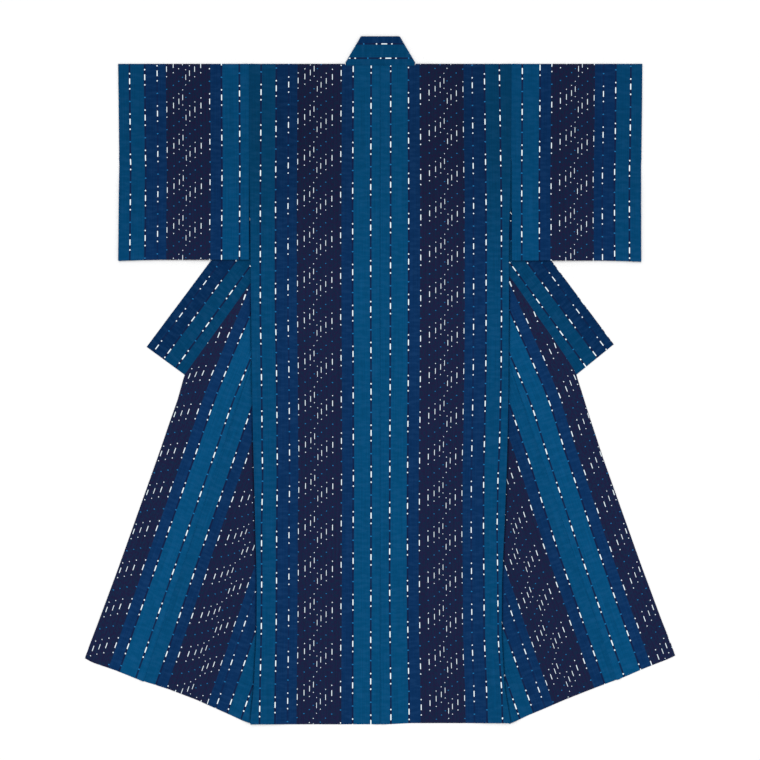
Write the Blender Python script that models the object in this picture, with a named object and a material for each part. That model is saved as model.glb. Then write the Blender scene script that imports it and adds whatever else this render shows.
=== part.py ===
"""A cotton kimono with kasuri stripes, laid flat with its back up and its fronts fanned out.

The garment is cut from seven pieces, each one closed solid: two body lengths that run from the
back hem over the shoulder to the front hem, two overlap panels, two sleeves and the collar.
Metres, +Z up. The back hem points to -Y, and the origin is the middle of the laid shape on the
surface under it. "Out" is the distance from the centre back seam towards a sleeve.
"""
import math
from typing import NamedTuple

import bmesh
import bpy
from mathutils import Vector

# Cloth
CLOTH = 0.0010
GAP = 0.0003
LAYER = CLOTH + GAP
BEND = LAYER / 2
BEND_STEPS = 6

# Body lengths
BODY_LENGTH = 1.6361
SHOULDER_HALF = 0.3254
NECK_HALF = 0.0877
BACK_NECK_HALF = 0.0856
BACK_NECK_DROP = 0.0047
FRONT_NECK_DROP = 0.1042

# Collar
COLLAR_RISE = 0.0682
COLLAR_TOP_HALF = 0.0480
COLLAR_LINE_TILT = math.radians(36.7)
COLLAR_SEAT = 0.0022
COLLAR_NECK_THICK = 0.0023
COLLAR_INNER_HALF = 0.0422
COLLAR_INNER_RISE = 0.0253

# Sleeves
SLEEVE_REACH = 0.6486
SLEEVE_DROP = 0.4886
SLEEVE_SEWN = 0.2306
SLEEVE_FREE_HALF = 0.3266
SLEEVE_FREE_START = 0.2500

# Fronts, folded out along a slanted line that starts just inside the hem corner
FAN_TILT = math.radians(19.2)
FOLD_TILT = FAN_TILT / 2
FOLD_INSET = 0.0037
SEAM_HALF = 0.0002
FRONT_EDGE = 0.4402
OVERLAP_TIP_UP = 1.3300

# Ramps where a layer comes down beside what it lies on
BESIDE_COLLAR = (0.028, 0.068)
BESIDE_FOLD = (0.045, 0.105)

INDIGO = (0.004, 0.055, 0.155)
DEEP_INDIGO = (0.004, 0.026, 0.090)


class SeamPoint(NamedTuple):
    """A place on an edge of the fanned front: its height up the grain, and across the cloth."""
    up: float
    across: float


class Side(NamedTuple):
    """One half of the garment: which way is out, the back hem's corner and the collar's end."""
    name: str
    turn: int
    hem_corner: float
    collar_end: SeamPoint


class SidePoint(NamedTuple):
    """The side seam's place out from the centre, at a distance down from the shoulder."""
    down: float
    left: float
    right: float


class HemPoint(NamedTuple):
    """The fanned front's hem: how far it rises above its square line, out along the hem."""
    along: float
    left: float
    right: float


SIDES = (
    Side("left", -1, 0.3231, SeamPoint(0.7980, 0.5494)),
    Side("right", 1, 0.3238, SeamPoint(0.8045, 0.5502)),
)

SIDE_SEAM = (
    SidePoint(0.0000, 0.3254, 0.3254),
    SidePoint(0.2306, 0.3252, 0.3240),
    SidePoint(0.3000, 0.3240, 0.3215),
    SidePoint(0.4241, 0.3219, 0.3192),
    SidePoint(0.5850, 0.3206, 0.3190),
    SidePoint(0.8085, 0.3181, 0.3178),
    SidePoint(0.9820, 0.3147, 0.3143),
    SidePoint(1.1310, 0.3114, 0.3088),
    SidePoint(1.2800, 0.3075, 0.3020),
    SidePoint(1.4160, 0.3080, 0.3008),
    SidePoint(1.5500, 0.3150, 0.3085),
)

FAN_HEM = (
    HemPoint(0.0232, 0.0010, 0.0028),
    HemPoint(0.0477, 0.0033, 0.0052),
    HemPoint(0.0964, 0.0074, 0.0084),
    HemPoint(0.1450, 0.0114, 0.0120),
    HemPoint(0.2160, 0.0136, 0.0150),
    HemPoint(0.2835, 0.0116, 0.0163),
    HemPoint(0.3591, 0.0152, 0.0209),
    HemPoint(0.4200, 0.0149, 0.0232),
    HemPoint(0.4402, 0.0185, 0.0255),
)

OVERLAP_SEAM = (
    SeamPoint(0.0150, 0.2835),
    SeamPoint(0.7936, 0.2899),
    SeamPoint(1.3888, 0.2852),
)

COLLAR_SEAM = (
    SeamPoint(0.7638, 0.4378),
    SeamPoint(1.0228, 0.3559),
    SeamPoint(1.1160, 0.3296),
    SeamPoint(1.2400, 0.3055),
    SeamPoint(1.3888, 0.2852),
)

FRONT_EDGE_LINE = (
    SeamPoint(0.0340, 0.4399),
    SeamPoint(0.1000, 0.4381),
    SeamPoint(0.2500, 0.4354),
    SeamPoint(0.5500, 0.4334),
    SeamPoint(0.7000, 0.4350),
)


def fan_point(side, across, up):
    """A point of the fanned front, as out and up from the garment's middle."""
    out = side.hem_corner + across * math.cos(FAN_TILT) - up * math.sin(FAN_TILT)
    return Vector((out, HEM_Y + across * math.sin(FAN_TILT) + up * math.cos(FAN_TILT)))


def widest_reach(side):
    """How far the fan's front corner lies out from the centre seam."""
    corner = FAN_HEM[-1]
    return fan_point(side, FRONT_EDGE, getattr(corner, side.name)).x


HEM_Y = -(BODY_LENGTH + COLLAR_RISE) / 2
SHOULDER_Y = HEM_Y + BODY_LENGTH
COLLAR_TOP_Y = SHOULDER_Y + COLLAR_RISE
CENTRE_X = (widest_reach(SIDES[0]) - widest_reach(SIDES[1])) / 2


def fold_line(side):
    """The front's slanted fold: its foot on the hem, its direction up, and the way inward."""
    foot = Vector((side.hem_corner - FOLD_INSET, HEM_Y))
    along = Vector((-math.sin(FOLD_TILT), math.cos(FOLD_TILT)))
    inward = Vector((-math.cos(FOLD_TILT), -math.sin(FOLD_TILT)))
    return foot, along, inward


def collar_line(side):
    """The collar arm's outer edge: the end's corner, the way up, and the way off the collar."""
    corner = fan_point(side, side.collar_end.across, side.collar_end.up)
    along = Vector((-math.sin(COLLAR_LINE_TILT), math.cos(COLLAR_LINE_TILT)))
    off = Vector((math.cos(COLLAR_LINE_TILT), math.sin(COLLAR_LINE_TILT)))
    return corner, along, off


def ramp(value, limits):
    """1 before the first limit, 0 past the second, and straight between them."""
    start, end = limits
    return min(1.0, max(0.0, (end - value) / (end - start)))


def lift_beside_collar(side, point):
    """How far a layer is raised by the fanned front and collar that lie under it."""
    corner, _, off = collar_line(side)
    return LAYER * ramp((point - corner).dot(off), BESIDE_COLLAR)


def under_layer(side, point):
    """The middle height of the first layer above the surface, over the fan where that is."""
    return CLOTH / 2 + lift_beside_collar(side, point)


def upper_layer(side, point):
    """The middle height of a layer that lies on the first one."""
    return under_layer(side, point) + LAYER


def back_layer(side, point):
    """The back's middle height: on the folded front, and down on the surface between them."""
    foot, _, inward = fold_line(side)
    share = ramp((point - foot).dot(inward), BESIDE_FOLD)
    return CLOTH / 2 + share * (upper_layer(side, point) - CLOTH / 2)


class Skin:
    """The middle surface of one cloth piece, each point with its normal and half thickness."""

    def __init__(self, side=None):
        self.side = side
        self.points = []
        self.faces = []

    def add(self, out, y, z, normal, half=CLOTH / 2):
        """One point of the surface, and its number."""
        self.points.append((Vector((out, y, z)), Vector(normal), half))
        return len(self.points) - 1

    def panel(self, outline, height, facing, cuts=()):
        """A flat or ramped panel from its outline, cut along the ramps' edges."""
        flat = bmesh.new()
        flat.faces.new([flat.verts.new((p.x, p.y, 0)) for p in outline])
        for at, way in cuts:
            everything = flat.verts[:] + flat.edges[:] + flat.faces[:]
            bmesh.ops.bisect_plane(flat, geom=everything, dist=1e-7,
                                   plane_co=(at.x, at.y, 0), plane_no=(way.x, way.y, 0))
        flat.verts.index_update()
        places = [Vector((v.co.x, v.co.y)) for v in flat.verts]
        rows = [self.add(p.x, p.y, height(self.side, p), (0, 0, facing)) for p in places]
        self.faces += [[rows[v.index] for v in face.verts] for face in flat.faces]
        flat.free()
        return list(zip(places, rows))

    def bend(self, upper, lower, way, turned=1):
        """A half-round strip from an upper edge to the lower edge under it, bulging one way."""
        rings = [list(upper)]
        for step in range(1, BEND_STEPS):
            angle = math.pi * step / BEND_STEPS
            ring = []
            for top, bottom in zip(upper, lower):
                high = self.points[top]
                low = self.points[bottom]
                radius = (high[0].z - low[0].z) / 2
                middle = (high[0] + low[0]) / 2
                radial = Vector((way.x * math.sin(angle), way.y * math.sin(angle), math.cos(angle)))
                half = high[2] + (low[2] - high[2]) * step / BEND_STEPS
                place = middle + radial * radius
                ring.append(self.add(place.x, place.y, place.z, radial * turned, half))
            rings.append(ring)
        rings.append(list(lower))
        for above, below in zip(rings, rings[1:]):
            for i in range(len(above) - 1):
                self.faces.append([above[i], above[i + 1], below[i + 1], below[i]])

    def solid(self, name, colour, turn=1):
        """The closed wall of cloth around this surface, as one named object."""
        shape = bmesh.new()
        place = [Vector((CENTRE_X + turn * p.x, p.y, p.z)) for p, _, _ in self.points]
        lean = [Vector((turn * n.x, n.y, n.z)) * half for _, n, half in self.points]
        outer = [shape.verts.new(p + n) for p, n in zip(place, lean)]
        inner = [shape.verts.new(p - n) for p, n in zip(place, lean)]
        edges = {}
        for face in self.faces:
            shape.faces.new([outer[i] for i in face])
            shape.faces.new([inner[i] for i in reversed(face)])
            for a, b in zip(face, face[1:] + face[:1]):
                edges.setdefault(frozenset((a, b)), []).append((a, b))
        for uses in edges.values():
            if len(uses) == 1:
                a, b = uses[0]
                shape.faces.new((outer[b], outer[a], inner[a], inner[b]))
        bmesh.ops.recalc_face_normals(shape, faces=shape.faces)
        bmesh.ops.triangulate(shape, faces=shape.faces)
        mesh = bpy.data.meshes.new(name)
        shape.to_mesh(mesh)
        shape.free()
        mesh.shade_smooth()
        mesh.set_sharp_from_angle(angle=math.radians(35))
        mesh.materials.append(dyed_cotton(name + "_cloth", colour))
        piece = bpy.data.objects.new(name, mesh)
        bpy.context.collection.objects.link(piece)
        return piece


def dyed_cotton(name, colour):
    """Matt indigo cotton in one shade."""
    material = bpy.data.materials.new(name)
    material.use_nodes = True
    shader = material.node_tree.nodes["Principled BSDF"]
    shader.inputs["Base Color"].default_value = (*colour, 1)
    shader.inputs["Roughness"].default_value = 0.85
    shader.inputs["Metallic"].default_value = 0
    return material


def rows_on(panel, test, key):
    """The points of a panel that lie on one of its edges, in order along it."""
    chosen = [(place, row) for place, row in panel if test(place)]
    return [row for place, row in sorted(chosen, key=lambda item: key(item[0]))]


def on_line(start, way):
    """A test for places that lie on a straight line."""
    across = Vector((way.y, -way.x))
    return lambda place: abs((place - start).dot(across)) < 1e-6


def on_height(y):
    """A test for places at one distance along the garment."""
    return lambda place: abs(place.y - y) < 1e-6


def ramp_cuts(side, with_fold):
    """The straight lines in plan where a layer's slope changes."""
    corner, _, off = collar_line(side)
    cuts = [(corner + off * distance, off) for distance in BESIDE_COLLAR]
    if with_fold:
        foot, _, inward = fold_line(side)
        cuts += [(foot + inward * distance, inward) for distance in BESIDE_FOLD]
    return cuts


def side_seam(side):
    """The side seam's places, from the shoulder down to the hem corner."""
    down = [Vector((getattr(p, side.name), SHOULDER_Y - p.down)) for p in SIDE_SEAM]
    return down + [Vector((side.hem_corner, HEM_Y))]


def seam_places(side, seam, shift):
    """A fan seam's places, moved across the cloth by half the gap to its neighbour."""
    return [fan_point(side, p.across + shift, p.up) for p in seam]


def fan_hem_places(side, first, last):
    """The fanned hem between two distances along it."""
    rows = [(p.along, getattr(p, side.name)) for p in FAN_HEM]

    def rise(along):
        for (a, low), (b, high) in zip(rows, rows[1:]):
            if along <= b:
                return low + (high - low) * (along - a) / (b - a)
        return rows[-1][1]

    inside = [along for along, _ in rows if first < along < last]
    return [fan_point(side, a, rise(a)) for a in [first] + inside + [last]]


def neck_point_on_fold(side):
    """Where the front neckline meets the slanted fold."""
    foot, along, _ = fold_line(side)
    return foot + along * ((BODY_LENGTH - FRONT_NECK_DROP) / along.y)


def body(side):
    """One length of cloth: the back, over the shoulder, the front under it, and the fan."""
    skin = Skin(side)
    foot, along, _ = fold_line(side)
    neck_foot = neck_point_on_fold(side)
    neck = Vector((NECK_HALF, SHOULDER_Y))
    seam = side_seam(side)
    centre = GAP / 2
    back_neck_y = SHOULDER_Y - BACK_NECK_DROP
    back = skin.panel(
        [Vector((centre, HEM_Y))] + seam[::-1]
        + [neck, Vector((BACK_NECK_HALF, back_neck_y)), Vector((centre, back_neck_y))],
        back_layer, 1, ramp_cuts(side, with_fold=True))
    front = skin.panel([neck] + seam + [foot, neck_foot], under_layer, -1,
                       ramp_cuts(side, with_fold=False))
    hem = fan_hem_places(side, FAN_HEM[0].along, OVERLAP_SEAM[0].across - SEAM_HALF)
    overlap_edge = seam_places(side, OVERLAP_SEAM[1:], -SEAM_HALF)
    fan = skin.panel([foot] + hem + overlap_edge + [neck_foot],
                     lambda _, place: CLOTH / 2, 1)
    shoulder = on_height(SHOULDER_Y)
    skin.bend(rows_on(back, shoulder, lambda p: p.x), rows_on(front, shoulder, lambda p: p.x),
              Vector((0, 1)))
    folded = on_line(foot, along)
    skin.bend(rows_on(front, folded, lambda p: p.y), rows_on(fan, folded, lambda p: p.y),
              Vector((-1, 0)), turned=-1)
    return skin.solid("body_" + side.name, INDIGO, side.turn)


def overlap_panel(side):
    """The narrow panel sewn to the front's edge, with its slanted top under the collar seam."""
    skin = Skin(side)
    inner = seam_places(side, OVERLAP_SEAM[:2], SEAM_HALF)
    hem = fan_hem_places(side, OVERLAP_SEAM[0].across + SEAM_HALF, FRONT_EDGE)
    low, high = OVERLAP_SEAM[1], OVERLAP_SEAM[2]
    share = (OVERLAP_TIP_UP - low.up) / (high.up - low.up)
    tip = fan_point(side, low.across + share * (high.across - low.across) + SEAM_HALF, OVERLAP_TIP_UP)
    edge = seam_places(side, FRONT_EDGE_LINE, 0)
    top = seam_places(side, COLLAR_SEAM[:-1], -SEAM_HALF)
    skin.panel(hem + edge + top + [tip] + inner[:0:-1], lambda _, place: CLOTH / 2, 1)
    return skin.solid("okumi_" + side.name, INDIGO, side.turn)


def sleeve(side):
    """A flat tube, folded at the shoulder and along its foot, open at the cuff and armhole."""
    skin = Skin(side)
    foot_y = SHOULDER_Y - SLEEVE_DROP
    sewn = SHOULDER_HALF + GAP
    outline = [
        Vector((sewn, SHOULDER_Y)),
        Vector((SLEEVE_REACH, SHOULDER_Y)),
        Vector((SLEEVE_REACH, foot_y)),
        Vector((SLEEVE_FREE_HALF, foot_y)),
        Vector((SLEEVE_FREE_HALF, SHOULDER_Y - SLEEVE_FREE_START)),
        Vector((sewn, SHOULDER_Y - SLEEVE_SEWN)),
    ]
    cuts = ramp_cuts(side, with_fold=False)
    upper = skin.panel(outline, upper_layer, 1, cuts)
    lower = skin.panel(outline, under_layer, -1, cuts)
    for y, way in ((SHOULDER_Y, 1), (foot_y, -1)):
        edge = on_height(y)
        skin.bend(rows_on(upper, edge, lambda p: p.x), rows_on(lower, edge, lambda p: p.x),
                  Vector((0, way)))
    return skin.solid("sleeve_" + side.name, INDIGO, side.turn)


def collar_rows():
    """The neck part's rows: each one's height, half width and half thickness."""
    half = COLLAR_NECK_THICK / 2
    lean = (NECK_HALF - COLLAR_TOP_HALF) / COLLAR_RISE
    rows = []
    for step in range(5):
        angle = math.pi / 2 * step / 4
        below_top = half * (1 - math.cos(angle))
        rows.append((COLLAR_TOP_Y - below_top, max(half * math.sin(angle), half / 5)))
    rows += [(SHOULDER_Y + COLLAR_RISE / 2, half), (SHOULDER_Y + COLLAR_SEAT, half)]
    return [(y, COLLAR_TOP_HALF + (COLLAR_TOP_Y - y) * lean, h) for y, h in rows]


def collar():
    """The collar: a doubled band round the neck, turned under at each end into a long arm."""
    skin = Skin()
    neck_mid = 2 * LAYER + CLOTH - COLLAR_NECK_THICK / 2
    rows = collar_rows()
    ends = {}
    for side in SIDES:
        ends[side.name] = [skin.add(side.turn * w, y, neck_mid, (0, 0, 1), h) for y, w, h in rows]
    foot_y = SHOULDER_Y - BACK_NECK_DROP + GAP
    feet = [skin.add(side.turn * (BACK_NECK_HALF - CLOTH), foot_y, neck_mid, (0, 0, 1),
                     COLLAR_NECK_THICK / 2) for side in SIDES]
    left, right = ends["left"] + [feet[0]], ends["right"] + [feet[1]]
    for i in range(len(left) - 1):
        skin.faces.append([left[i], right[i], right[i + 1], left[i + 1]])
    for side in SIDES:
        under = [skin.add(side.turn * w, y, CLOTH / 2, (0, 0, -1)) for y, w, _ in rows]
        skin.bend(ends[side.name], under, Vector((side.turn, 0)))
        corner, along, _ = collar_line(side)
        below_neck = corner + along * ((NECK_HALF - corner.x) / along.x)
        inner_top = Vector((COLLAR_INNER_HALF, SHOULDER_Y + COLLAR_INNER_RISE))
        fold_top = neck_point_on_fold(side) + Vector((2 * GAP, 2 * GAP))
        seam = seam_places(side, COLLAR_SEAM, SEAM_HALF)
        arm = [below_neck, corner] + seam + [fold_top, inner_top]
        placed = [skin.add(side.turn * p.x, p.y, CLOTH / 2, (0, 0, -1)) for p in arm]
        skin.faces.append(under + placed)
    return skin.solid("collar", DEEP_INDIGO)


for leftover in list(bpy.data.objects):
    bpy.data.objects.remove(leftover)
for half_of_garment in SIDES:
    body(half_of_garment)
    overlap_panel(half_of_garment)
    sleeve(half_of_garment)
collar()
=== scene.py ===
"""Looks of an indigo kasuri kimono laid flat, its back up and its fronts fanned out beside it.

Each cut piece is one thin sheet of woven cloth on the form of its solid. The cloth's own
coordinates, across the loom and along the warp, carry the stripe and its ikat marks, so the
pattern turns and folds with the cloth. Metres, +Z up; "out" is the distance from the centre
back seam towards a sleeve, and "up" on a fanned front runs along its grain from the hem.
"""

import math
from typing import NamedTuple

import bmesh
import bpy
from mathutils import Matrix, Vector


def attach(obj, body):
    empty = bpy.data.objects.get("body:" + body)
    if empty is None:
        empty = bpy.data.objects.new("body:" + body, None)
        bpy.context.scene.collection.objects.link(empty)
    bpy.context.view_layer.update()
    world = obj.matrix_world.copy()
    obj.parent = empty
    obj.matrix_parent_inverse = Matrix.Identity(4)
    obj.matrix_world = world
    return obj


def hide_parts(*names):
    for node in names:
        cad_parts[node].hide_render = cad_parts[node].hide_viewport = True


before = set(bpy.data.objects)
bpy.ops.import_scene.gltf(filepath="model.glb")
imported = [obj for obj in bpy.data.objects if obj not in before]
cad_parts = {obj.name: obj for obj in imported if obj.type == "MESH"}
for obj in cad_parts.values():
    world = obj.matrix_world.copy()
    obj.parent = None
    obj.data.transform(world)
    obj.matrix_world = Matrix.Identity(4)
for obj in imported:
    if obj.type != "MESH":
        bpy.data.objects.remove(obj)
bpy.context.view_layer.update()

# Cloth layers
LAYER_MID = 0.0005
LAYER = 0.0013
FABRIC = 0.0006
LOWEST_MID = 0.00035
MAIN_PITCH = 0.0075
FRONT_PITCH = 0.0120
BEND_STEPS = 4
NECK_FOLD_STEPS = 6
BACK_COLUMNS = 11
OUTER_COLUMNS = 31
FOLD_COLUMNS = 6
FAN_COLUMNS = 20
OVERLAP_COLUMNS = 12
SLEEVE_COLUMNS = 46
COLLAR_COLUMNS = 9
NECK_COLUMNS = 30
MERGED = 0.00002
SLIVER = 0.00001
SMOOTH_ANGLE = math.radians(40)

# Body
BODY_LENGTH = 1.6361
SHOULDER_HALF = 0.3254
NECK_HALF = 0.0877
BACK_NECK_HALF = 0.0856
BACK_NECK_DROP = 0.0047
FRONT_NECK_DROP = 0.1042
CENTRE_GAP = 0.00006

# Collar
COLLAR_RISE = 0.0682
COLLAR_TOP_HALF = 0.0480
COLLAR_LINE_TILT = math.radians(36.7)
COLLAR_SEAT = 0.0022
COLLAR_OUTER_MID = 0.00325
COLLAR_LIP_MID = 0.00185
COLLAR_LIP_DEPTH = 0.0440
COLLAR_LIP_INSET = 0.0080
COLLAR_LIP_ROWS = 4
NECK_SEAM_HALF = 0.0846
ARM_START = Vector((0.0006, 0.0006))
ARM_TURNS = (0.4, 0.8)
COLLAR_INNER_HALF = 0.0422
COLLAR_INNER_RISE = 0.0253

# Sleeves
SLEEVE_REACH = 0.6486
SLEEVE_DROP = 0.4886
SLEEVE_SEWN = 0.2306
SLEEVE_FREE_START = 0.2500
CUFF_OPENING = 0.2300
CUFF_BOW_FADE = 0.65

# Fanned fronts
FAN_TILT = math.radians(19.2)
FOLD_TILT = FAN_TILT / 2
FOLD_INSET = 0.0037
SEAM_HALF = 0.00003
FRONT_EDGE = 0.4402
HEM_EASE = 0.30
HEM_MEET_DROP = 0.0016
HEM_MEET = (0.008, 0.085)
OVERLAP_TIP_UP = 1.3300
OVERLAP_MIRROR = 0.6044
EDGE_TURN = 0.0030
EDGE_TURN_WIDTH = 0.014
BESIDE_COLLAR = (0.028, 0.068)
BESIDE_FOLD = (0.045, 0.105)

# The laid cloth's loft over what is under it, and the turned-in cloth beside its seams
SIDE_LOFT = 0.0046
FRONT_LOFT = 0.0016
SLEEVE_LOFT = 0.0026
LOFT_WIDTH = 0.030
LOFT_START = (0.235, 0.330)
HEM_PRESS = (-0.030, 0.090)
ALLOWANCE = 0.0007
ALLOWANCE_END = (0.0084, 0.0182)
CENTRE_LAYERS = 2
FAN_SWELL = 0.0028
SWELL_RISE = 0.0042
SWELL_FALL = 0.020
SWELL_START = (0.500, 0.560)
SIDE_ROUND = 0.4
SIDE_OPENING = 0.3700
PEEK_START = (0.2206, 0.2406)
PEEK_END = (0.3550, 0.3720)
SHUT = 0.0200
PEEK_CLEARANCE = 0.0001

# Rolled edges of the cloth
EDGE_STEPS = (0.0, 0.0008, 0.0018, 0.0032, 0.0055)
FULL_STEPS_WIDTH = 6 * EDGE_STEPS[-1]
GROOVE_STEPS = (0.0, 0.0012, 0.0024, 0.0038, 0.0055, 0.0080, 0.0120, 0.0180, 0.0260)
EARLIEST_GROOVE = EDGE_STEPS[-1] + GROOVE_STEPS[-1] / 4
LATEST_GROOVE = 0.7
ROLL_WIDTH = 0.0050
ROLL_FREE = 0.00045
ROLL_SEAM = 0.00140
ROLL_FLOOR = 0.00015
ROLL_CENTRE = 0.00180
ROLL_TUCK = 0.00180
OVERLAP_TUCK = 0.00070
OVERLAP_TUCK_END = (0.003, 0.009)
OVERLAP_RIDGE = 0.00150
OVERLAP_RIDGE_END = (0.0085, 0.0135)

# The stripe's chart is in this width, and its marks repeat at this length
LOOM = 0.400
REPEAT = 0.1012
DASH_HALF = 0.0062
DOT_SWELL = 0.0003
BLUE_SWELL = 0.0009
DOT_PLACE = 0.0190
ARM_LEAN = 0.014
ARM_STRETCH = -0.020
COLLAR_WIDTH = 0.116
NECK_STRIPE_SCALE = 1.056
NECK_STRIPE_SHIFT = 0.0091
NECK_STRIPE_START = 0.0198
SHADED_TOP = (0.65, 0.15)

# Light and view
SURROUND_LIGHT = 0.92
KEY_LIGHT = 0.82
KEY_ANGLE = math.radians(40)
KEY_WAY = Vector((0.8, -1.6, -2.6))
VIEW_WIDTH = 1.8848
LENS = 135
SENSOR = 36
FLOOR_SIZE = 40


class SeamPoint(NamedTuple):
    """A place on an edge of the fanned front: its height up the grain, and across the cloth."""
    up: float
    across: float


class Repeats(NamedTuple):
    """How a panel's repeats lie: their start along the grain, their stretch and their skew."""
    start: float
    stretch: float
    skew: float

    def count(self, run, across):
        """The repeats woven up to a place along the warp."""
        return (run * (1 - self.stretch) - self.start - self.skew * across) / REPEAT


class Side(NamedTuple):
    """One half of the garment: its outline, and where its cloth's stripe and repeat start."""
    name: str
    turn: int
    hem_corner: float
    hem_drop: float
    collar_end: SeamPoint
    sleeve_free: float
    stripe_edge: float
    fan: Repeats
    overlap: Repeats
    arm_start: float
    arm_scale: float
    arm_shift: float
    cuff_edge: float
    cuff_scale: float
    sleeve: Repeats


class SideRow(NamedTuple):
    """A number for each side, such as an edge's place, at a distance along the cloth."""
    at: float
    left: float
    right: float


class DriftPoint(NamedTuple):
    """How far stripes or marks stray, at the side seam and at the centre of each back."""
    down: float
    left_edge: float
    left_centre: float
    right_edge: float
    right_centre: float


def table(kind, *rows):
    """A table whose rows are of one kind."""
    return tuple(kind(*row) for row in rows)


SIDES = (
    Side("left", -1, 0.3231, 0.0016, SeamPoint(0.7980, 0.5494), 0.3256, 0.3234,
         fan=Repeats(0.1438, 0.0045, 0.0463), overlap=Repeats(-0.0112, 0.0120, 0.0900),
         arm_start=0.0347, arm_scale=1.000, arm_shift=0.0010,
         cuff_edge=0.6492, cuff_scale=1.0, sleeve=Repeats(0.0439, -0.012, 0.0)),
    Side("right", 1, 0.3238, -0.0014, SeamPoint(0.8045, 0.5502), 0.3264, 0.3271,
         fan=Repeats(0.1382, -0.0065, 0.0), overlap=Repeats(0.0769, -0.0080, 0.0),
         arm_start=0.0052, arm_scale=1.033, arm_shift=-0.0034,
         cuff_edge=0.6484, cuff_scale=1.012, sleeve=Repeats(0.0575, 0.0, -0.030)),
)

# Edges' places out, at distances down from the shoulder
SIDE_SEAM = table(
    SideRow,
    (0.0, 0.3254, 0.3254),
    (0.2306, 0.3252, 0.3240),
    (0.3000, 0.3240, 0.3215),
    (0.4241, 0.3219, 0.3192),
    (0.5850, 0.3206, 0.3190),
    (0.8085, 0.3181, 0.3178),
    (0.9820, 0.3142, 0.3143),
    (1.1310, 0.3105, 0.3088),
    (1.2800, 0.3065, 0.3020),
    (1.4160, 0.3070, 0.3008),
    (1.5500, 0.3142, 0.3085),
    (1.6361, 0.3231, 0.3238),
)

CUFF_LINE = table(
    SideRow,
    (0.0, 0.6500, 0.6496),
    (0.1000, 0.6488, 0.6488),
    (0.2200, 0.6475, 0.6473),
    (0.3400, 0.6486, 0.6465),
    (0.4886, 0.6500, 0.6470),
)

# How the woven stripes and marks of the backs stray, at distances down from the shoulder
BACK_DRIFT = table(
    DriftPoint,
    (0.082, 0.0010, -0.0002, -0.0027, -0.0010),
    (0.350, 0.0027, 0.0007, 0.0017, -0.0015),
    (0.618, 0.0027, 0.0005, 0.0020, -0.0020),
    (0.751, 0.0, 0.0, 0.0012, -0.0025),
    (0.885, -0.0017, 0.0, -0.0017, -0.0030),
    (1.019, -0.0027, -0.0002, -0.0055, -0.0032),
    (1.153, -0.0005, 0.0, -0.0060, -0.0035),
    (1.287, -0.0002, 0.0002, -0.0045, -0.0037),
    (1.421, 0.0010, 0.0007, -0.0035, -0.0027),
    (1.555, 0.0037, 0.0005, 0.0032, -0.0012),
    (1.636, 0.0050, 0.0, 0.0050, -0.0010),
)

SIDE_PULL = table(
    SideRow,
    (0.950, 0.0, 0.0),
    (1.019, 0.0018, 0.0034),
    (1.153, 0.0, 0.0086),
    (1.287, 0.0014, 0.0070),
    (1.421, 0.0014, 0.0068),
    (1.555, 0.0, 0.0012),
    (1.636, 0.0, 0.0),
)
SIDE_PULL_WIDTH = 0.066

BACK_LAG = table(
    DriftPoint,
    (0.171, 0.0002, 0.0050, 0.0040, -0.0012),
    (0.474, -0.0007, 0.0050, 0.0015, -0.0025),
    (0.772, 0.0017, 0.0074, -0.0005, -0.0019),
    (1.069, 0.0030, 0.0074, -0.0050, -0.0025),
    (1.367, 0.0027, 0.0074, -0.0077, -0.0012),
    (1.478, 0.0020, 0.0074, -0.0084, 0.0),
)

BACK_REPEATS = table(
    SideRow,
    (0.0, -0.69, -0.30),
    (0.7540, 6.80, 7.21),
    (0.8530, 7.76, 8.19),
    (1.6361, 15.40, 15.86),
)

# How the stripes of the fanned panels stray across, at heights up their grain
FAN_STRAY = table(
    SideRow,
    (0.00, -0.0036, -0.0036),
    (0.11, -0.0036, -0.0040),
    (0.23, -0.0027, -0.0050),
    (0.35, -0.0013, -0.0050),
    (0.47, -0.0018, -0.0030),
    (0.59, -0.0026, 0.0007),
    (0.76, -0.0020, 0.0010),
)

OVERLAP_STRAY = table(
    SideRow,
    (0.00, 0.0006, -0.0003),
    (0.23, -0.0002, -0.0022),
    (0.35, -0.0003, -0.0024),
    (0.47, -0.0008, -0.0008),
    (0.59, -0.0012, 0.0002),
    (0.71, -0.0010, 0.0038),
    (0.76, -0.0022, 0.0026),
    (0.88, -0.0095, -0.0072),
    (1.00, -0.0192, -0.0178),
    (1.10, -0.0290, -0.0300),
    (1.33, -0.0500, -0.0550),
)

# How far the fanned hem and the sleeve's foot rise above a square line, along them
FAN_HEM = table(
    SideRow,
    (0.0, 0.0, 0.0),
    (0.0232, 0.0003, 0.0019),
    (0.0477, 0.0026, 0.0043),
    (0.0964, 0.0070, 0.0074),
    (0.1450, 0.0111, 0.0110),
    (0.2160, 0.0134, 0.0140),
    (0.2835, 0.0116, 0.0156),
    (0.3591, 0.0152, 0.0209),
    (0.4200, 0.0149, 0.0232),
    (0.4402, 0.0185, 0.0255),
)

FOOT_LINE = table(
    SideRow,
    (0.3200, 0.0024, 0.0004),
    (0.5500, 0.0024, 0.0004),
    (0.6000, 0.0014, -0.0006),
    (0.6500, -0.0002, -0.0028),
)
FOOT_EASE = 0.20

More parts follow.
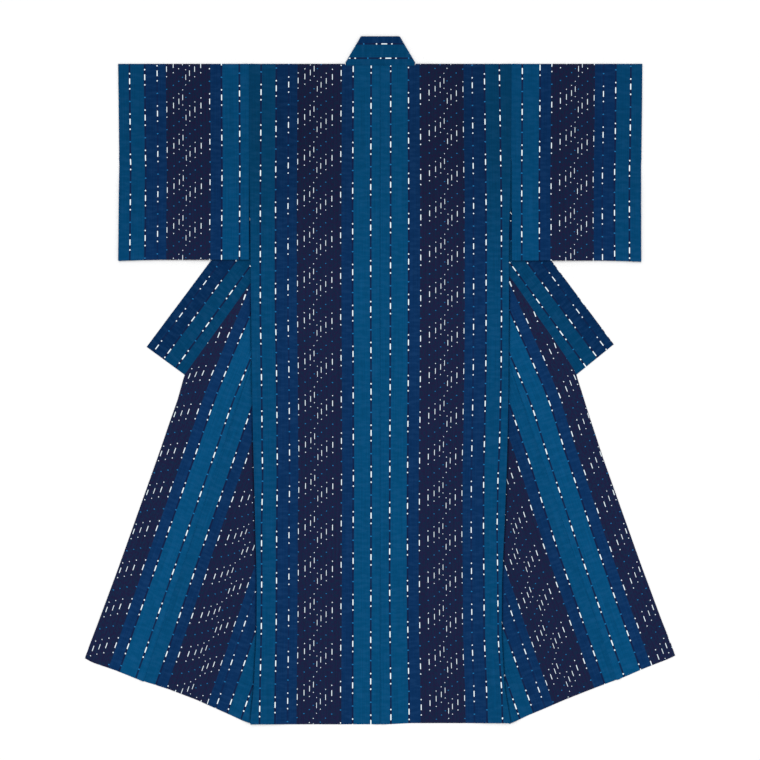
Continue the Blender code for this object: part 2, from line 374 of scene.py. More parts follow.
# Seams and edges of the fanned front, at heights up its grain
OVERLAP_SEAM = (SeamPoint(0.0, 0.2835), SeamPoint(0.7936, 0.2899), SeamPoint(1.3888, 0.2852))
COLLAR_SEAM = table(
    SeamPoint,
    (0.7638, 0.4378),
    (1.0228, 0.3606),
    (1.1160, 0.3296),
    (1.2400, 0.3055),
    (1.3888, 0.2852),
)
SEAM_STRAY = table(
    SideRow,
    (0.7638, 0.0, 0.0),
    (0.7780, 0.0, 0.0030),
    (0.8070, 0.0, 0.0047),
    (0.8600, 0.0, 0.0060),
    (0.9500, 0.0, 0.0075),
    (1.0100, 0.0, 0.0088),
    (1.1000, 0.0, 0.0090),
    (1.2400, 0.0, 0.0040),
    (1.3888, 0.0, 0.0),
)
COLLAR_GRAIN = (SeamPoint(0.7638, 0.4378), SeamPoint(1.0228, 0.3559))
FRONT_EDGE_LINE = table(
    SideRow,
    (0.0, 0.4402, 0.4402),
    (0.0340, 0.4399, 0.4399),
    (0.1000, 0.4381, 0.4374),
    (0.2500, 0.4354, 0.4344),
    (0.5500, 0.4334, 0.4324),
    (0.6400, 0.4340, 0.4341),
    (0.7000, 0.4338, 0.4358),
    (0.7638, 0.4378, 0.4378),
)


def between(rows, at, read):
    """A table's value at a place between its rows, on straight lines."""
    last = rows[-1]
    for low, high in zip(rows, rows[1:]):
        if at <= high[0]:
            share = (at - low[0]) / (high[0] - low[0])
            return read(low) + (read(high) - read(low)) * share
    return read(last)


def for_side(rows, at, side):
    """A table's value for one side, at a place between its rows."""
    return between(rows, at, lambda row: getattr(row, side.name))


def fan_place(side, across, up):
    """A place on the fanned front, as out and y."""
    out = side.hem_corner + across * math.cos(FAN_TILT) - up * math.sin(FAN_TILT)
    return Vector((out, HEM_Y + across * math.sin(FAN_TILT) + up * math.cos(FAN_TILT)))


def fan_inverse(side, place):
    """How far across and up the fanned front a place lies."""
    out = place.x - side.hem_corner
    rise = place.y - HEM_Y
    return (out * math.cos(FAN_TILT) + rise * math.sin(FAN_TILT),
            rise * math.cos(FAN_TILT) - out * math.sin(FAN_TILT))


def hem_rise(side, along):
    """The fanned hem's rise at a distance along it."""
    return for_side(FAN_HEM, max(0.0, along), side)


def collar_seam(side, up):
    """How far across the fanned front the collar's seam lies, at a height up the grain."""
    return between(COLLAR_SEAM, up, lambda p: p.across) + for_side(SEAM_STRAY, up, side)


def widest_reach(side):
    """How far the fan's front corner lies out from the centre seam."""
    return fan_place(side, FRONT_EDGE, getattr(FAN_HEM[-1], side.name)).x


HEM_Y = -(BODY_LENGTH + COLLAR_RISE) / 2
SHOULDER_Y = HEM_Y + BODY_LENGTH
COLLAR_TOP_Y = SHOULDER_Y + COLLAR_RISE
BACK_NECK_Y = SHOULDER_Y - BACK_NECK_DROP
CENTRE_X = (widest_reach(SIDES[0]) - widest_reach(SIDES[1])) / 2


def side_edge(side, y):
    """The side seam's place out, at a height."""
    return for_side(SIDE_SEAM, SHOULDER_Y - y, side)


def panel_cloth(side, across, up, repeats, stray):
    """A place on the loom of a fanned panel: across from the side seam, and in repeats up."""
    return across - for_side(stray, up, side), side.turn * repeats.count(up, across)


def bulge(lift, roundness=1.0):
    """How far a fold stands out past its rows, when its layers lie this much further apart."""
    return roundness * (LAYER + lift) / 2 + FABRIC / 2


def fold_out(side, y):
    """The front's slanted fold's place out, at a height."""
    return side.hem_corner - FOLD_INSET - (y - HEM_Y) * math.tan(FOLD_TILT)


def collar_corner(side):
    """The outer corner of the collar's end."""
    return fan_place(side, side.collar_end.across, side.collar_end.up)


def ease(value, limits):
    """1 before the first limit and 0 past the second, on a soft slope."""
    start, end = limits
    share = min(1.0, max(0.0, (end - value) / (end - start)))
    return share * share * (3 - 2 * share)


def under_mid(side, out, y):
    """The middle height of the first layer, raised over the fanned front and collar."""
    off = Vector((math.cos(COLLAR_LINE_TILT), math.sin(COLLAR_LINE_TILT)))
    beside = (Vector((out, y)) - collar_corner(side)).dot(off)
    return LAYER_MID + LAYER * ease(beside, BESIDE_COLLAR)


def upper_mid(side, out, y):
    """The middle height of a layer on the first one."""
    return under_mid(side, out, y) + LAYER


def back_mid(side, out, y):
    """The back's middle height: on the folded front, and down on the surface between them."""
    beside = (fold_out(side, y) - out) * math.cos(FOLD_TILT)
    return LAYER_MID + ease(beside, BESIDE_FOLD) * (upper_mid(side, out, y) - LAYER_MID)


class Crease(NamedTuple):
    """A soft ridge in the laid cloth, from one end to the other, with its width and height."""
    x0: float
    y0: float
    x1: float
    y1: float
    width: float
    height: float


CREASES = table(
    Crease,
    (0.239, -0.330, 0.221, -0.455, 0.0085, 0.0010),
    (0.262, -0.300, 0.240, -0.560, 0.0120, 0.0008),
    (-0.262, -0.240, -0.246, -0.520, 0.0110, 0.0007),
    (-0.100, 0.640, -0.112, 0.180, 0.0160, 0.0007),
    (-0.172, 0.420, -0.160, -0.080, 0.0190, 0.0008),
    (-0.060, -0.080, -0.072, -0.560, 0.0170, 0.0007),
    (-0.205, -0.420, -0.196, -0.780, 0.0150, 0.0008),
    (0.118, 0.560, 0.128, 0.120, 0.0180, 0.0008),
    (0.062, 0.060, 0.052, -0.360, 0.0150, 0.0006),
    (0.170, 0.100, 0.178, -0.260, 0.0140, 0.0007),
    (0.130, -0.440, 0.122, -0.800, 0.0180, 0.0008),
    (-0.420, 0.740, -0.405, 0.360, 0.0150, 0.0007),
    (-0.560, 0.690, -0.572, 0.420, 0.0130, 0.0006),
    (-0.340, 0.560, -0.395, 0.330, 0.0110, 0.0008),
    (0.430, 0.730, 0.442, 0.380, 0.0150, 0.0007),
    (0.580, 0.640, 0.566, 0.350, 0.0130, 0.0006),
    (0.346, 0.600, 0.388, 0.340, 0.0110, 0.0009),
    (-0.395, -0.060, -0.555, -0.560, 0.0150, 0.0008),
    (-0.500, -0.120, -0.640, -0.520, 0.0130, 0.0006),
    (-0.360, -0.380, -0.430, -0.700, 0.0160, 0.0007),
    (0.392, -0.040, 0.535, -0.520, 0.0150, 0.0008),
    (0.505, -0.140, 0.632, -0.530, 0.0130, 0.0006),
    (0.365, -0.400, 0.420, -0.690, 0.0160, 0.0007),
    (-0.520, 0.110, -0.420, 0.240, 0.0090, 0.0005),
    (0.515, 0.115, 0.425, 0.235, 0.0090, 0.0005),
)


class Wave(NamedTuple):
    """A slow wave in the laid cloth: its height and rates, and a second wave that bends it."""
    height: float
    x_rate: float
    y_rate: float
    bend: float
    bend_x_rate: float
    bend_y_rate: float
    bend_start: float


WAVES = table(
    Wave,
    (0.00014, 61, 0, 1.7, 0, 5.3, 0),
    (0.00010, 0, 47, 2.1, 13, 0, 0.6),
    (0.00006, 171, 23, 1.0, 0, 19, 0),
)
CREASE_END = 0.02
CREASE_REACH = 3


def puckers(x, y):
    """How far the laid cloth, all its layers together, stands off the surface at a place."""
    lift = 0
    for wave in WAVES:
        bend = wave.bend * math.sin(x * wave.bend_x_rate + y * wave.bend_y_rate + wave.bend_start)
        lift += wave.height * (1 + math.sin(x * wave.x_rate + y * wave.y_rate + bend))
    for crease in CREASES:
        run = (crease.x1 - crease.x0, crease.y1 - crease.y0)
        length = math.hypot(*run)
        along = ((x - crease.x0) * run[0] + (y - crease.y0) * run[1]) / length
        aside = ((x - crease.x0) * run[1] - (y - crease.y0) * run[0]) / length
        beside = abs(aside) < CREASE_REACH * crease.width
        if -CREASE_END < along < length + CREASE_END and beside:
            ends = math.sin(math.pi * min(1.0, max(0.0, along / length)))
            lift += crease.height * ends * math.exp(-(aside / crease.width) ** 2)
    return lift


def loft(distance, height):
    """How far a slack layer stands up near its edge."""
    return height * math.exp(-(distance / LOFT_WIDTH) ** 2)


def allowance(distance):
    """How far the turned-in cloth under a seam raises it, at a distance from the seam."""
    return ALLOWANCE * ease(distance, ALLOWANCE_END)


def slack(down):
    """How much of its loft a layer has, at a distance down from the shoulder."""
    return 1 - ease(down, LOFT_START)


def pressed(y):
    """How much of its loft a layer keeps near the flat hem."""
    return 1 - ease(y - HEM_Y, HEM_PRESS)


def roll(distance, depth):
    """How far the cloth bends down at a distance from its edge."""
    return depth * max(0.0, 1 - distance / ROLL_WIDTH) ** 2


def stations(width, count):
    """Distances over a width, close together at both of its edges."""
    scale = min(1.0, width / FULL_STEPS_WIDTH)
    edge = [step * scale for step in EDGE_STEPS]
    inner = width - 2 * edge[-1]
    middle = [edge[-1] + inner * i / count for i in range(1, count)]
    return edge + middle + [width - step for step in reversed(edge)]


def past_edge(width, at, inner_count, outer_count):
    """Distances over a width: close together at its edges, and past a place on the way."""
    tight = EDGE_STEPS[-1]
    at = min(LATEST_GROOVE * width, max(EARLIEST_GROOVE, at))
    scale = min(1.0, (width - at) / (2 * GROOVE_STEPS[-1]))
    groove = [at + scale * step for step in GROOVE_STEPS]
    inner = [tight + (at - tight) * i / inner_count for i in range(1, inner_count)]
    rest = width - tight - groove[-1]
    outer = [groove[-1] + rest * i / outer_count for i in range(1, outer_count)]
    return list(EDGE_STEPS) + inner + groove + outer + [width - d for d in reversed(EDGE_STEPS)]


def past_side(side, place):
    """How far past the back's side edge a place on the fanned front lies."""
    return place.x - side_edge(side, place.y)


def swell(side, place):
    """How far the fanned front stands up again beside the back's side edge."""
    past = past_side(side, place)
    rise = 1 - ease(past, (0.0, SWELL_RISE))
    fall = math.exp(-(max(0.0, past - SWELL_RISE) / SWELL_FALL) ** 2)
    return FAN_SWELL * rise * fall * (1 - ease(SHOULDER_Y - place.y, SWELL_START))


def lengthwise(low, high, pitch):
    """Heights from one edge of a piece to the other, close together at both."""
    return [low + d for d in stations(high - low, round((high - low) / pitch))]


class Sheet:
    """A piece of cloth as rows of points, each with its place on the loom."""

    def __init__(self):
        self.points = []
        self.cloth = []
        self.quads = []

    def spot(self, turn, out, y, z, across, along):
        """One point of the cloth, and its number."""
        x = CENTRE_X + turn * out
        self.points.append((x, y, max(LOWEST_MID, z + puckers(x, y))))
        self.cloth.append((across, along))
        return len(self.points) - 1

    def join(self, first, second):
        """The faces between two rows with as many points."""
        for i in range(len(first) - 1):
            self.quads.append((first[i], first[i + 1], second[i + 1], second[i]))

    def join_all(self, rows):
        """The faces between each row and the next."""
        for first, second in zip(rows, rows[1:]):
            self.join(first, second)

    def bend(self, turn, start, end, way, steps=BEND_STEPS):
        """Rows round a fold, from one row to the row under or over it."""
        rows = [start]
        for step in range(1, steps):
            angle = math.pi * step / steps
            row = []
            for a, b in zip(start, end):
                p, q = Vector(self.points[a]), Vector(self.points[b])
                radius = abs(p.z - q.z) / 2
                middle = (p + q) / 2
                share = step / steps
                cloth = [u + (w - u) * share for u, w in zip(self.cloth[a], self.cloth[b])]
                x = middle.x + turn * way[0] * radius * math.sin(angle)
                y = middle.y + way[1] * radius * math.sin(angle)
                z = middle.z + (p.z - q.z) / 2 * math.cos(angle)
                self.points.append((x, y, z))
                self.cloth.append(tuple(cloth))
                row.append(len(self.points) - 1)
            rows.append(row)
        rows.append(end)
        self.join_all(rows)

    def make(self, name, material, node):
        """The finished piece: one closed thin shell with the cloth's own coordinates."""
        mesh = bpy.data.meshes.new(name)
        mesh.from_pydata(self.points, [], self.quads)
        layer = mesh.uv_layers.new(name="Cloth")
        for loop in mesh.loops:
            layer.data[loop.index].uv = self.cloth[loop.vertex_index]
        shape = bmesh.new()
        shape.from_mesh(mesh)
        bmesh.ops.remove_doubles(shape, verts=shape.verts, dist=MERGED)
        bmesh.ops.dissolve_degenerate(shape, edges=shape.edges, dist=SLIVER)
        bmesh.ops.recalc_face_normals(shape, faces=shape.faces)
        shape.to_mesh(mesh)
        shape.free()
        piece = bpy.data.objects.new(name, mesh)
        bpy.context.collection.objects.link(piece)
        mesh.materials.append(material)
        wall = piece.modifiers.new("thickness", "SOLIDIFY")
        wall.thickness = FABRIC
        wall.offset = 0
        bpy.ops.object.select_all(action="DESELECT")
        piece.select_set(True)
        bpy.context.view_layer.objects.active = piece
        bpy.ops.object.modifier_apply(modifier=wall.name)
        bpy.ops.object.shade_smooth_by_angle(angle=SMOOTH_ANGLE)
        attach(piece, "root")
        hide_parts(node)
        return piece


def back_cloth(side, out, y):
    """A back's place on the loom: from the side seam's selvage, and in repeats."""
    down = SHOULDER_Y - y
    across = side.stripe_edge - out
    inward = min(1.0, max(0.0, across / SHOULDER_HALF))

    def strayed(rows):
        edge = between(rows, down, lambda row: getattr(row, side.name + "_edge"))
        centre = between(rows, down, lambda row: getattr(row, side.name + "_centre"))
        return edge + (centre - edge) * inward

    pull = for_side(SIDE_PULL, max(SIDE_PULL[0].at, down), side)
    pull *= max(0.0, 1 - across / SIDE_PULL_WIDTH)
    woven = for_side(BACK_REPEATS, down - strayed(BACK_LAG), side)
    return across + strayed(BACK_DRIFT) - pull, side.turn * woven


def body_heights():
    """The rows of the body's layers, from the hem up to the shoulder's neck edge."""
    neck_y = SHOULDER_Y - FRONT_NECK_DROP
    low = lengthwise(HEM_Y, neck_y, MAIN_PITCH)
    count = round((BACK_NECK_Y - neck_y) / MAIN_PITCH)
    return low, [neck_y + (BACK_NECK_Y - neck_y) * i / count for i in range(1, count + 1)]


def body(side, material):
    """The back, over the shoulder, the front under it, and the fan beyond its slanted fold."""
    sheet = Sheet()
    turn = side.turn
    centre = CENTRE_GAP / 2
    tight = EDGE_STEPS[-1]
    near = list(EDGE_STEPS)
    near += [tight + (BACK_NECK_HALF - tight) * i / BACK_COLUMNS for i in range(1, BACK_COLUMNS)]
    outer = [i / OUTER_COLUMNS for i in range(OUTER_COLUMNS)]
    neck_column = len(near)
    low_heights, neck_heights = body_heights()
    neck_y = low_heights[-1]
    neck_fold = Vector((fold_out(side, neck_y), neck_y))
    end_across, end_up = fan_inverse(side, neck_fold)

    def outer_places(neck, edge):
        reach = edge - tight - neck
        return [neck + reach * s for s in outer] + [edge - e for e in reversed(EDGE_STEPS)]

    def shut_edge(y):
        down = SHOULDER_Y - y
        shut = 1 - ease(down, (SIDE_OPENING, SIDE_OPENING + SHUT))
        return side_edge(side, y) - shut * bulge(SIDE_LOFT - FRONT_LOFT, SIDE_ROUND)

    def back_row(y, neck, with_centre):
        edge = shut_edge(y)
        near_hem = max(0.0, 1 - (y - HEM_Y) / HEM_EASE)
        outs = ([centre + d for d in near] if with_centre else []) + outer_places(neck, edge)
        row = []
        for out in outs:
            z = back_mid(side, out, y) + CENTRE_LAYERS * allowance(out)
            z += loft(edge - out, SIDE_LOFT) * slack(SHOULDER_Y - y) * pressed(y)
            z -= roll(out - centre, ROLL_CENTRE) + roll(y - HEM_Y, ROLL_FREE)
            if y > SHOULDER_Y - SLEEVE_SEWN:
                z += allowance(edge - out) - roll(edge - out, ROLL_SEAM)
            drop = side.hem_drop + (HEM_MEET_DROP - side.hem_drop) * ease(out, HEM_MEET)
            place_y = y - drop * near_hem
            row.append(sheet.spot(turn, out, place_y, z, *back_cloth(side, out, y)))
        return row

    def inner_out(y):
        if y <= neck_y:
            return fold_out(side, y)
        return neck_fold.x + (NECK_HALF - neck_fold.x) * (y - neck_y) / FRONT_NECK_DROP

    def front_edge(y):
        down = SHOULDER_Y - y
        peek = ease(down, PEEK_END) * (1 - ease(down, PEEK_START))
        edge = shut_edge(y)
        return edge + peek * (sleeve_inner(side, y) - PEEK_CLEARANCE - edge)

    def front_row(y):
        edge = front_edge(y)
        inner = inner_out(y)
        row = []
        for place in outer_places(NECK_HALF, SHOULDER_HALF):
            share = (place - NECK_HALF) / (SHOULDER_HALF - NECK_HALF)
            out = inner + (edge - inner) * share
            z = under_mid(side, out, y)
            z += loft(edge - out, FRONT_LOFT) * slack(SHOULDER_Y - y) * pressed(y)
            cloth = (side.stripe_edge - out, side.turn * (y - HEM_Y - side.fan.start) / REPEAT)
            row.append(sheet.spot(turn, out, y, z, *cloth))
        return row

    def fan_end(up):
        if up <= OVERLAP_SEAM[-1].up:
            return between(OVERLAP_SEAM, up, lambda p: p.across) - SEAM_HALF
        share = (up - OVERLAP_SEAM[-1].up) / (end_up - OVERLAP_SEAM[-1].up)
        return OVERLAP_SEAM[-1].across + (end_across - OVERLAP_SEAM[-1].across) * share

    def fan_row(y):
        start, up = fan_inverse(side, Vector((fold_out(side, y), y)))
        width = fan_end(up) - start
        at = -past_side(side, fan_place(side, start, up)) / math.cos(FAN_TILT)
        row = []
        for step in past_edge(width, at, FOLD_COLUMNS, FAN_COLUMNS):
            across = start + step
            rise = up + hem_rise(side, across) * max(0.0, 1 - up / HEM_EASE)
            place = fan_place(side, across, rise)
            z = LAYER_MID + OVERLAP_TUCK * ease(width - step, OVERLAP_TUCK_END) + swell(side, place)
            z -= roll(width - step, ROLL_TUCK) + roll(up, ROLL_FLOOR)
            cloth = panel_cloth(side, across, rise, side.fan, FAN_STRAY)
            row.append(sheet.spot(turn, place.x, place.y, z, *cloth))
        return row

    back_rows = [back_row(y, BACK_NECK_HALF, True) for y in low_heights + neck_heights]
    sheet.join_all(back_rows)
    top_rows = [back_rows[-1][neck_column:]]
    for share in (0.5, 1.0):
        y = BACK_NECK_Y + (BACK_NECK_DROP - bulge(0)) * share
        neck = BACK_NECK_HALF + (NECK_HALF - BACK_NECK_HALF) * share
        top_rows.append(back_row(y, neck, False))
    sheet.join_all(top_rows)

    front_heights = low_heights + neck_heights[:-1] + [BACK_NECK_Y, SHOULDER_Y - bulge(0)]
    front_rows = [front_row(y) for y in front_heights]
    sheet.join_all(front_rows)
    sheet.bend(turn, top_rows[-1], front_rows[-1], (0, 1))
    closed = [i for i, y in enumerate(low_heights) if y < SHOULDER_Y - SIDE_OPENING]
    outer_ends = [[rows[i][-1] for i in closed] for rows in (back_rows, front_rows)]
    sheet.bend(turn, *outer_ends, (SIDE_ROUND, 0))

    fan_rows = [fan_row(y) for y in low_heights]
    folded = front_rows[:len(low_heights)]
    sheet.bend(turn, [row[0] for row in folded], [row[0] for row in fan_rows], (-1, 0))
    sheet.join_all(fan_rows)
    piece = sheet.make("kimono_body_" + side.name, material, "body_" + side.name)
    return piece


def overlap_panel(side, material):
    """The okumi: the narrow panel on the front's edge, slanted at the top under the collar."""
    sheet = Sheet()
    corner_up = COLLAR_SEAM[0].up
    heights = lengthwise(0.0, corner_up, MAIN_PITCH)
    heights += lengthwise(corner_up, OVERLAP_TIP_UP, FRONT_PITCH)[1:]
    rows = []
    for up in heights:
        inner = between(OVERLAP_SEAM, up, lambda p: p.across) + SEAM_HALF
        outer = collar_seam(side, up) - SEAM_HALF
        if up <= corner_up:
            outer = for_side(FRONT_EDGE_LINE, up, side) - SEAM_HALF
        at = -past_side(side, fan_place(side, inner, up)) / math.cos(FAN_TILT)
        row = []
        for step in past_edge(outer - inner, at, FOLD_COLUMNS, OVERLAP_COLUMNS):
            across = inner + step
            rise = up + hem_rise(side, across) * max(0.0, 1 - up / HEM_EASE)
            place = fan_place(side, across, rise)
            z = LAYER_MID + OVERLAP_RIDGE * ease(step, OVERLAP_RIDGE_END) + swell(side, place)
            z -= roll(step, ROLL_TUCK) + roll(outer - across, ROLL_FLOOR)
            z -= roll(up, ROLL_FLOOR)
            loom, along = panel_cloth(side, across, rise, side.overlap, OVERLAP_STRAY)
            loom = OVERLAP_MIRROR - loom + EDGE_TURN * ease(outer - across, (0, EDGE_TURN_WIDTH))
            row.append(sheet.spot(side.turn, place.x, place.y, z, loom, -along))
        rows.append(row)
    sheet.join_all(rows)
    piece = sheet.make("kimono_okumi_" + side.name, material, "okumi_" + side.name)
    return piece


def sleeve_inner(side, y):
    """The sleeve's inner edge: sewn to the body at the top, and free below the armhole."""
    sewn = side_edge(side, max(y, SHOULDER_Y - SLEEVE_SEWN)) + CENTRE_GAP
    down = SHOULDER_Y - y
    share = min(1.0, max(0.0, (down - SLEEVE_SEWN) / (SLEEVE_FREE_START - SLEEVE_SEWN)))
    return sewn + (side.sleeve_free - sewn) * share


def sleeve(side, material):
    """A flat tube, folded at the shoulder, closed along its foot and its cuff's lower half."""
    sheet = Sheet()
    foot_y = SHOULDER_Y - SLEEVE_DROP
    foot_fold = bulge(SLEEVE_LOFT, SIDE_ROUND)
    heights = lengthwise(foot_y + foot_fold, SHOULDER_Y - bulge(0), MAIN_PITCH)

    def row(y, height, slackness, rolling):
        down = SHOULDER_Y - y
        inner = sleeve_inner(side, y)
        shut = 1 - ease(down, (CUFF_OPENING, CUFF_OPENING + SHUT))
        reach = for_side(CUFF_LINE, down, side) - shut * bulge(SLEEVE_LOFT, SIDE_ROUND)
        width = reach - inner
        bow = reach - SLEEVE_REACH
        places = []
        for step in stations(width, SLEEVE_COLUMNS):
            out = inner + step
            edge = min(step, width - step, down, y - foot_y)
            z = height(side, out, y) + loft(edge, slackness) * slack(down)
            if down < SLEEVE_SEWN and rolling:
                z += allowance(step) - roll(step, ROLL_SEAM)
            turned = bow * (1 - CUFF_BOW_FADE * (width - step) / width)
            across = (side.cuff_edge - out + turned) * side.cuff_scale
            along = side.turn * side.sleeve.count(down, across)
            foot_rise = for_side(FOOT_LINE, max(FOOT_LINE[0].at, out), side)
            place_y = y + foot_rise * max(0.0, 1 - (y - foot_y) / FOOT_EASE)
            places.append(sheet.spot(side.turn, out, place_y, z, across, along))
        return places

    upper = [row(y, upper_mid, SLEEVE_LOFT, True) for y in heights]
    lower = [row(y, under_mid, 0.0, False) for y in heights]
    sheet.join_all(upper)
    sheet.join_all(lower)
    sheet.bend(side.turn, upper[-1], lower[-1], (0, 1))
    sheet.bend(side.turn, upper[0], lower[0], (0, -SIDE_ROUND))
    closed = [i for i, y in enumerate(heights) if y < SHOULDER_Y - CUFF_OPENING]
    cuff_ends = [[rows[i][-1] for i in closed] for rows in (upper, lower)]
    sheet.bend(side.turn, *cuff_ends, (SIDE_ROUND, 0))
    piece = sheet.make("kimono_sleeve_" + side.name, material, "sleeve_" + side.name)
    return piece


def collar(material):
    """The band round the neck, its lip turned under, and an arm from each slanted fold."""
    sheet = Sheet()
    fold = bulge(0)
    across_steps = stations(COLLAR_RISE - COLLAR_SEAT - fold, COLLAR_COLUMNS)
    lean = (NECK_HALF - COLLAR_TOP_HALF) / COLLAR_RISE

    def neck_row(y, half, mid, past_top=0.0):
        row = []
        for i in range(NECK_COLUMNS + 1):
            out = half * (2 * i / NECK_COLUMNS - 1)
            across = (y - BACK_NECK_Y + 2 * past_top) * NECK_STRIPE_SCALE + NECK_STRIPE_SHIFT
            row.append(sheet.spot(1, out, y, mid, across, (NECK_STRIPE_START - out) / REPEAT))
        return row

    neck_rows = []
    for step in across_steps:
        y = COLLAR_TOP_Y - fold - step
        neck_rows.append(neck_row(y, COLLAR_TOP_HALF - fold + step * lean, COLLAR_OUTER_MID))
    seam_rows = [neck_rows[-1]]
    for share in (0.5, 1.0):
        y = SHOULDER_Y + COLLAR_SEAT + (BACK_NECK_Y + CENTRE_GAP - SHOULDER_Y - COLLAR_SEAT) * share
        drop = ROLL_FREE * share
        seam_rows.append(neck_row(y, NECK_SEAM_HALF, COLLAR_OUTER_MID - drop))
    sheet.join_all(neck_rows)
    sheet.join_all(seam_rows)

    lip_rows = []
    for i in range(COLLAR_LIP_ROWS + 1):
        depth = COLLAR_LIP_DEPTH * i / COLLAR_LIP_ROWS
        half = COLLAR_TOP_HALF - fold + depth * lean - COLLAR_LIP_INSET * min(1, i)
        lip_rows.append(neck_row(COLLAR_TOP_Y - fold - depth, half, COLLAR_LIP_MID, depth))
    sheet.join_all(lip_rows)
    sheet.bend(1, neck_rows[0], lip_rows[0], (0, 1))

    for side in SIDES:
        corner = collar_corner(side)
        along = Vector((-math.sin(COLLAR_LINE_TILT), math.cos(COLLAR_LINE_TILT)))
        below_neck = corner + along * ((NECK_HALF - corner.x) / along.x)
        seam_heights = sorted({row[0] for row in COLLAR_SEAM + SEAM_STRAY})
        seam = [fan_place(side, collar_seam(side, up) + SEAM_HALF, up) for up in seam_heights]
        laid_from, laid_to = [fan_place(side, p.across, p.up) for p in COLLAR_GRAIN]
        way = (laid_to - laid_from).normalized()
        neck_y = SHOULDER_Y - FRONT_NECK_DROP
        seam.append(Vector((fold_out(side, neck_y), neck_y)) + ARM_START)
        outer_run = (below_neck - corner).length
        seam_run = sum((q - p).length for p, q in zip(seam, seam[1:]))
        arm_rows = []
        for run in stations(outer_run, round(outer_run / MAIN_PITCH)):
            share = run / outer_run
            left = seam_run * share
            at = seam[-1]
            for p, q in zip(seam, seam[1:]):
                if left <= (q - p).length:
                    at = p + (q - p).normalized() * left
                    break
                left -= (q - p).length
            arm_rows.append((at, corner + along * run, share))
        turn_in = Vector((COLLAR_INNER_HALF, SHOULDER_Y + COLLAR_INNER_RISE))
        top = Vector((COLLAR_TOP_HALF - fold, COLLAR_TOP_Y - fold))
        seat = Vector((NECK_HALF - fold - COLLAR_SEAT * lean, SHOULDER_Y + COLLAR_SEAT))
        arm_rows += [(seam[-1].lerp(turn_in, 0.5), below_neck.lerp(seat, ARM_TURNS[0]), 1.0),
                     (turn_in, below_neck.lerp(seat, ARM_TURNS[1]), 1.0),
                     (top, seat, 1.0)]
        rows = []
        for inner, outer, share in arm_rows:
            width = (outer - inner).length
            row = []
            for step in stations(width, COLLAR_COLUMNS):
                place = inner.lerp(outer, step / width)
                z = LAYER_MID - roll(step, ROLL_FLOOR) - roll(width - step, ROLL_FLOOR)
                z -= roll(share * outer_run, ROLL_FLOOR)
                run = (place - laid_from).dot(way)
                off = abs((place - laid_from).cross(way)) if share < 0.5 else step
                lean_in = ARM_LEAN * run * (1 - off / COLLAR_WIDTH)
                cloth = (off * side.arm_scale + side.arm_shift - lean_in,
                         side.turn * (run * (1 - ARM_STRETCH) - side.arm_start) / REPEAT)
                row.append(sheet.spot(side.turn, place.x, place.y, z, *cloth))
            rows.append(row)
        sheet.join_all(rows)
        column = 0 if side.turn < 0 else -1
        sheet.bend(side.turn, [row[column] for row in neck_rows], rows[-1], (1, 0), NECK_FOLD_STEPS)
    piece = sheet.make("kimono_collar", material, "collar")
    return piece


class StripeRow(NamedTuple):
    """One warp stripe of ikat marks: its place from the selvage, its step in the repeat,
    half its marks' width, and how dark a line runs under it.
    """
    place: float
    step: float
    half_width: float
    line: float


# Three rows on dark lines, nine on the navy band, and two more on lines
STRIPE_ROWS = table(
    StripeRow,
    (0.0285, 0.0, 0.0013, 1.0),
    (0.0660, 0.1, 0.0012, 1.0),
    (0.0967, 0.2, 0.0011, 0.5),
    (0.1200, 0.3, 0.0007, 0.0),
    (0.1366, 0.4, 0.0007, 0.0),
    (0.1500, 0.5, 0.0006, 0.0),
    (0.1595, 0.6, 0.0006, 0.0),
    (0.1674, 0.1, 0.0005, 0.0),
    (0.1768, 0.2, 0.0006, 0.0),
    (0.1895, 0.3, 0.0006, 0.0),
    (0.2046, 0.4, 0.0008, 0.0),
    (0.2262, 0.5, 0.0010, 0.0),
    (0.2559, 0.6, 0.0012, 1.0),
    (0.3003, 0.7, 0.0013, 1.0),
)


class Band(NamedTuple):
    """A plain band of the warp, from its place across the loom, in its dyed colour."""
    start: float
    colour: tuple


SELVAGE_BLUE = (0.0007, 0.0505, 0.1350)
MID_BLUE = (0.0008, 0.0570, 0.1500)
DEEP_BLUE = (0.0022, 0.0238, 0.0880)
NAVY = (0.0064, 0.0152, 0.0455)
PLUM_NAVY = (0.0112, 0.0116, 0.0445)
LINE_NAVY = (0.0055, 0.0080, 0.0410)
WORN = (0.0230, 0.0700, 0.1500)
UNDYED = (0.8400, 0.9400, 0.9800)
MARK_BLUE = (0.0120, 0.1500, 0.3600)

# Noise over the cloth: how fine across, how fine along, and its detail
STREAKS = (330.0, 0.5, 2.0)
THREADS = (1500.0, 3.0, 2.0)
RAGGED = (800.0, 1.0, 2.0)
MOTTLE = (240.0, 14.0, 2.0)
WEFT = (34.0, 12.0, 4.0)
RAGGED_SHIFT = 0.020

# Shares and limits of the dye
PLUM_LIMITS = (0.60, 0.40)
WORN_LIMITS = (0.66, 0.44)
WORN_SHARE = 0.09
WEFT_TONE = 0.40
STREAK_TONE = 0.34
THREAD_TONE = 0.26
BASE_TONE = 0.70
MARK_EDGE = (-0.0003, 0.0004)
DOT_SQUEEZE = 0.85
BLUE_SQUEEZE = 1.35
LINE_EDGE = (0.0017, 0.0024)
PALE_LINE = (0.020, 0.034)
PALE_LINE_DEPTH = 0.80

NAVY_START = 0.1183
NAVY_END = 0.2279
BANDS = (
    Band(0.0, SELVAGE_BLUE),
    Band(0.0660, DEEP_BLUE),
    Band(NAVY_START, NAVY),
    Band(NAVY_END, DEEP_BLUE),
    Band(0.2559, MID_BLUE),
)

